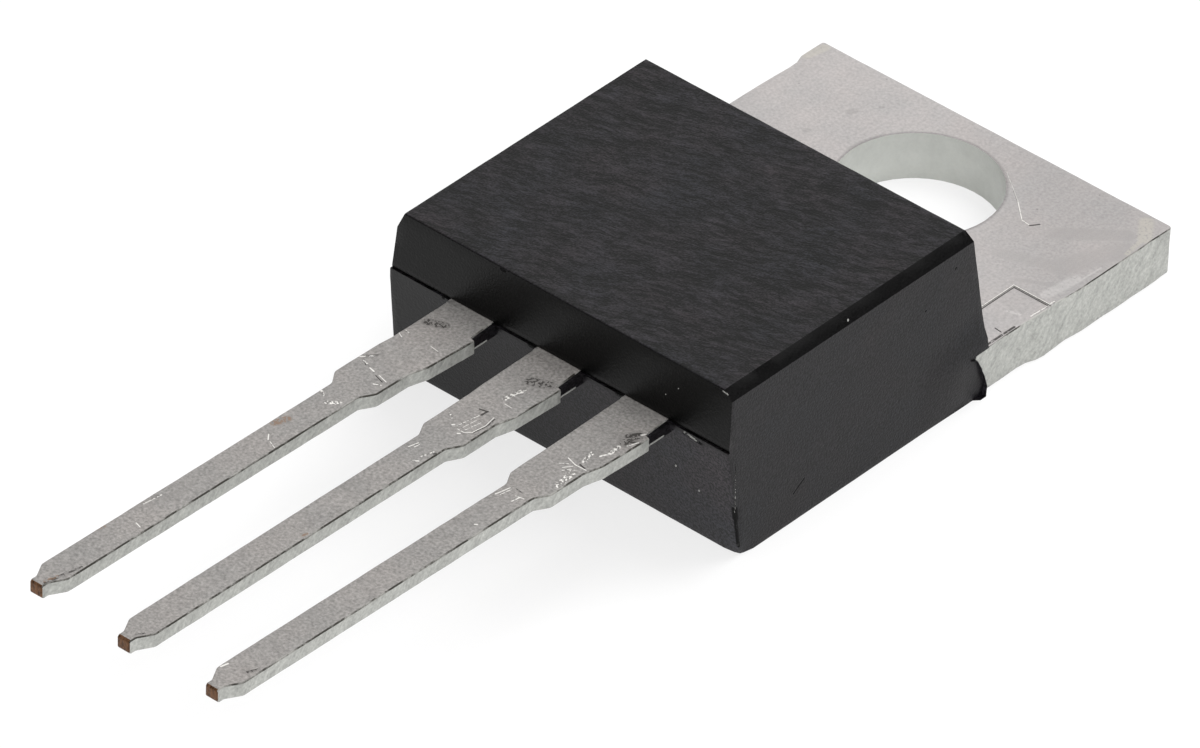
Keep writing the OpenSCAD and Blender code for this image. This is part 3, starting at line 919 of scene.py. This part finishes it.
def cutAcross(bm, step, axis):
    # cut every face at even steps along one axis, to give the surface points to move
    values = [v.co[axis] for v in bm.verts]
    low, high = min(values), max(values)
    way = axisWay(axis)
    count = int((high - low) / (step * mm))
    for i in range(1, count):
        cut = low + (high - low) * i / count
        cutPlane(bm, way * cut, way)


def cutAt(bm, axis, places):
    way = axisWay(axis)
    for place in places:
        cutPlane(bm, way * place * mm, way)


def boxOf(bm):
    return [[pick(v.co[i] for v in bm.verts) for i in range(3)] for pick in (min, max)]


def waveSurface(bm, amount, size, box):
    # slight unevenness, which leaves the resting plane flat and the box unchanged
    low, high = box
    finer, lower = shaping["fineWave"]
    bm.normal_update()
    for vert in bm.verts:
        if vert.co.z < shaping["flatFoot"] * mm:
            continue
        wave = noise.noise(vert.co / (size * mm)) + lower * noise.noise(vert.co / (size * mm * finer))
        moved = vert.co + vert.normal * wave * amount * mm
        vert.co = [min(max(moved[i], low[i]), high[i]) for i in range(3)]


def hasRoom(edge, radius):
    # no short edge turns off at either end, where the rounding would have no place
    way = (edge.verts[1].co - edge.verts[0].co).normalized()
    for vert in edge.verts:
        for other in vert.link_edges:
            if other is edge or other.calc_length() > shaping["shortEdge"] * radius * mm:
                continue
            otherWay = (other.verts[1].co - other.verts[0].co).normalized()
            if abs(way.dot(otherWay)) < shaping["inLine"]:
                return False
    return True


def roundEdges(bm, outside, lowY, highY, radius, segments):
    sharp = [
        e for e in bm.edges
        if len(e.link_faces) == 2
        and all(lowY < v.co.y / mm < highY for v in e.verts)
        and e.calc_face_angle(0) > math.radians(shaping["sharpAngle"])
        and e.link_faces[0] in outside and e.link_faces[1] in outside
        and hasRoom(e, radius)
    ]
    bmesh.ops.bevel(
        bm, geom=sharp, offset=radius * mm, offset_type="OFFSET", affect="EDGES",
        segments=segments, profile=0.5, material=-1, clamp_overlap=True,
    )
    return len(sharp)


def readAlong(rows, place):
    # straight-line reading of a list of (place, value)
    if place <= rows[0][0]:
        return rows[0][1]
    for (low, first), (high, second) in zip(rows, rows[1:]):
        if place <= high:
            return first + (second - first) * (place - low) / (high - low)
    return rows[-1][1]


def smoothShare(value, low, high):
    share = min(max((value - low) / (high - low), 0), 1)
    return share * share * (3 - 2 * share)


# wear of the case, mm
caseWear = {
    "side": {
        "startX": 4.6, "startY": -6, "facing": 0.2,
        "runY": (-5.8, -4.4), "runZ": (1.15, 2.1),
        "foot": 5.02, "lean": 0.045, "leanHeight": 1.15,
    },
    "ragged": {
        "startX": 4.7, "startY": -4.7, "lowZ": 0.02, "highZ": 2.4,
        "alongY": 0.05, "bumpsY": 4.5, "alongX": 0.02, "bumpsX": 5,
    },
    "corner": {"place": (5.02, -11.66, 0), "reach": 0.4, "push": 0.09, "power": 1.5},
}


def wearCase(bm):
    # the right side runs out smoothly over the root of the tab, the moulding is ragged
    # there, and the lower front right corner is knocked round
    side, ragged, knock = caseWear["side"], caseWear["ragged"], caseWear["corner"]
    corner = Vector(knock["place"])
    bm.normal_update()
    for vert in bm.verts:
        x, y, z = vert.co / mm
        if x > side["startX"] and y > side["startY"] and vert.normal.x > side["facing"]:
            rise = smoothShare(y, *side["runY"]) * (1 - smoothShare(z, *side["runZ"]))
            outer = side["foot"] + side["lean"] * min(z / side["leanHeight"], 1)
            x += (outer - x) * rise
        if x > ragged["startX"] and y > ragged["startY"] and ragged["lowZ"] < z < ragged["highZ"]:
            y += noise.noise(Vector((1.7, 2.3, z * ragged["bumpsY"]))) * ragged["alongY"]
            bumps = ragged["bumpsX"]
            x += noise.noise(Vector((5.1, y * bumps, z * bumps))) * ragged["alongX"]
        away = (Vector((x, y, z)) - corner).length
        if away < knock["reach"]:
            push = knock["push"] * (1 - away / knock["reach"]) ** knock["power"]
            x, y = x - push, y + push
        vert.co = Vector((x, y, z)) * mm


# how far the sides of the tab fall back from its full width: (y, inset), mm
tabSide = {
    "lowEdge": [(-3.6, 0.16), (-2.5, 0.17), (-2.13, 0.15), (-2.05, 0.09), (-1.75, 0.02),
                (-1.16, 0.05), (-0.79, 0.06), (-0.5, 0.02), (2.2, 0.0), (2.6, 0.03)],
    "highEdge": [(-3.83, 0.065), (-3.42, 0.1), (-2.48, 0.1), (-1.81, 0.08), (-1.08, 0.06),
                 (-0.89, 0.01), (2.6, 0.0)],
    "leftEdge": [(-3.4, 0.0), (0.3, 0.04), (1.5, 0.09), (1.7, 0.08), (1.82, 0.0)],
    "leftReach": (-5, -3.5, 2.5),  # points left of x, between the two y, move
    "rightReach": (4.6, -4),  # points right of x and beyond y move
    "fadeWidth": 0.5,  # mm in which the move grows to its full amount
    "thickness": 1.25,
    "breakPower": 1.5,  # shape of the sheared face between its two edges
    "chipSize": (3.1, 2.0),  # chips in one mm along y and up z
    "roughness": 0.03,
}


def wearTabSide(bm):
    # the sheared right side of the tab isn't straight: its two edges wander
    side = tabSide
    leftX, leftLow, leftHigh = side["leftReach"]
    rightX, rightLow = side["rightReach"]
    chipsY, chipsZ = side["chipSize"]
    for vert in bm.verts:
        x, y, z = vert.co / mm
        if x < leftX and leftLow < y < leftHigh:
            vert.co.x = (x + readAlong(side["leftEdge"], y)) * mm
        if x < rightX or y < rightLow:
            continue
        low, high = readAlong(side["lowEdge"], y), readAlong(side["highEdge"], y)
        share = min(max(z / side["thickness"], 0), 1)
        chip = noise.noise(Vector((y * chipsY, z * chipsZ, 4.0))) * side["roughness"]
        reach = min(max((x - rightX) / side["fadeWidth"], 0), 1)
        inset = low + (high - low) * share ** side["breakPower"] + abs(chip)
        vert.co.x = (x - inset * reach) * mm


def finishBurrAndEdgeShade(bm, burrAndShade):
    # the slanting faces along a right edge take the finish of the burr, partly painted shade
    for face in bm.faces:
        middle = face.calc_center_median() / mm
        if face.normal.x <= burrAndShade["facing"] or face.normal.z <= burrAndShade["facing"]:
            continue
        onTab = middle.x > burrAndShade["tabX"] and face.normal.z < burrAndShade["tabSlant"]
        if middle.y < burrAndShade["leadY"] or onTab:
            face.material_index = burrAndShade["finish"]


def dressNode(nodeName, pieceName, look, finishes, pickFinish):
    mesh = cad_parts[nodeName].data.copy()
    mesh.name = pieceName
    bm = bmesh.new()
    bm.from_mesh(mesh)
    bmesh.ops.remove_doubles(bm, verts=bm.verts, dist=shaping["mergeDistance"] * mm)
    bmesh.ops.dissolve_limit(
        bm, angle_limit=math.radians(shaping["flatAngle"]), verts=bm.verts, edges=bm.edges)
    box = boxOf(bm)
    for face in bm.faces:
        face.material_index = pickFinish(face)
    for axis, places in look["firstCuts"]:
        cutAt(bm, axis, places)
    bm.normal_update()
    outside = outerFaces(bm)
    for lowY, highY, radius in look["rounding"]:
        count = roundEdges(bm, outside, lowY, highY, radius, look["edgeSegments"])
        print(pieceName, "rounds", count, "edges to", radius)
        outside = outerFaces(bm)
    for axis, step in look["cuts"]:
        cutAcross(bm, step, axis)
    if "wear" in look:
        look["wear"](bm)
    waveSurface(bm, look["wave"], look["waveSize"], box)
    bm.normal_update()
    if "burrAndShade" in look:
        finishBurrAndEdgeShade(bm, look["burrAndShade"])
    for face in bm.faces:
        face.smooth = True
    smoothAngle = math.radians(shaping["smoothAngle"])
    for edge in bm.edges:
        edge.smooth = len(edge.link_faces) == 2 and edge.calc_face_angle(0) < smoothAngle
    mesh.materials.clear()
    for finish in finishes:
        mesh.materials.append(finish)
    bm.to_mesh(mesh)
    print(pieceName, "has", sum(len(face.verts) - 2 for face in bm.faces), "triangles")
    bm.free()
    piece = linkObject(bpy.data.objects.new(pieceName, mesh))
    weigh = piece.modifiers.new("faceNormals", "WEIGHTED_NORMAL")
    weigh.keep_sharp = True
    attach(piece, "root")
    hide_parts(nodeName)


# where each finish of the metal begins, mm
metalZones = {"leadStart": -9.0, "cutEnd": -25.6, "holeReach": 2.1, "holeStart": -3}
metalFacing = {"face": 0.8, "end": 0.6}  # share of the normal from which a face counts


def metalFinish(face):
    # 0 tab face, 1 lead face, 2 sheared side, 3 wall of the hole, 5 cut end; 4, the burr with its
    # painted edge shade, is given later
    zones, facing = metalZones, metalFacing
    middle = face.calc_center_median() / mm
    if abs(face.normal.z) > facing["face"]:
        return 1 if middle.y < zones["leadStart"] else 0
    if face.normal.y < -facing["end"] and middle.y < zones["cutEnd"]:
        return 5
    if math.hypot(middle.x, middle.y) < zones["holeReach"] and middle.y > zones["holeStart"]:
        return 3
    return 2


# rounding: (from y, to y, radius), mm; first cuts keep short edges away from the rounding
caseLook = {
    "rounding": [(-12.6, -3.2, 0.04)], "edgeSegments": 3, "wave": 0.005, "waveSize": 0.7,
    "firstCuts": [(2, (0.15, 1.4, 2.75, 3.15, 3.95, 4.22))],
    "cuts": [(0, 0.3), (1, 0.3), (2, 0.3)], "wear": wearCase,
}
metalLook = {
    "rounding": [(-3.9, 3, 0.045), (-26, -12.1, 0.03)], "edgeSegments": 3,
    "wave": 0.006, "waveSize": 0.5,
    # the burr finish is partly painted shade on the rounded edge
    "burrAndShade": {"finish": 4, "facing": 0.2, "leadY": -12.2, "tabX": 4.5, "tabSlant": 0.9},
    "firstCuts": [(1, (-3.8, -1.55, -1.25, -12.2, -12.6, -13.0)), (0, (3.85, 4.15, -3.85, -4.15))],
    "cuts": [(1, 0.25), (2, 0.25), (0, 0.5)],
}
tabLook = {**metalLook, "wear": wearTabSide}

dressNode("moulded_case", "case", caseLook, [compound], lambda face: 0)
for nodeName, pieceName, side, look in (
    ("tab_frame", "tabAndMiddleLead", "middle", tabLook),
    ("left_anode_lead", "leftLead", "left", metalLook),
    ("right_anode_lead", "rightLead", "right", metalLook),
):
    finishes = [tabFace, leadFaces[side], shearedSide, holeWall, edgeLine, cutCopper]
    dressNode(nodeName, pieceName, look, finishes, metalFinish)
print("outer pieces ready")

innerFinishes = {
    "solder": makeInnerFinish("dullSolder", (0.42, 0.42, 0.43), 0.5, (0.15, 0.15, 0.15)),
    "chip": makeInnerFinish("metallisedSilicon", (0.3, 0.31, 0.34), 0.25, (0.4, 0.4, 0.4)),
    "wire": makeInnerFinish("drawnAluminium", (0.78, 0.78, 0.79), 0.3, (0.05, 0.6, 0.05)),
}
for nodeName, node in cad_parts.items():
    kind = nodeName.split("_")[-1]
    if kind in innerFinishes:
        node.data.materials.clear()
        node.data.materials.append(innerFinishes[kind])
print("inner pieces ready")
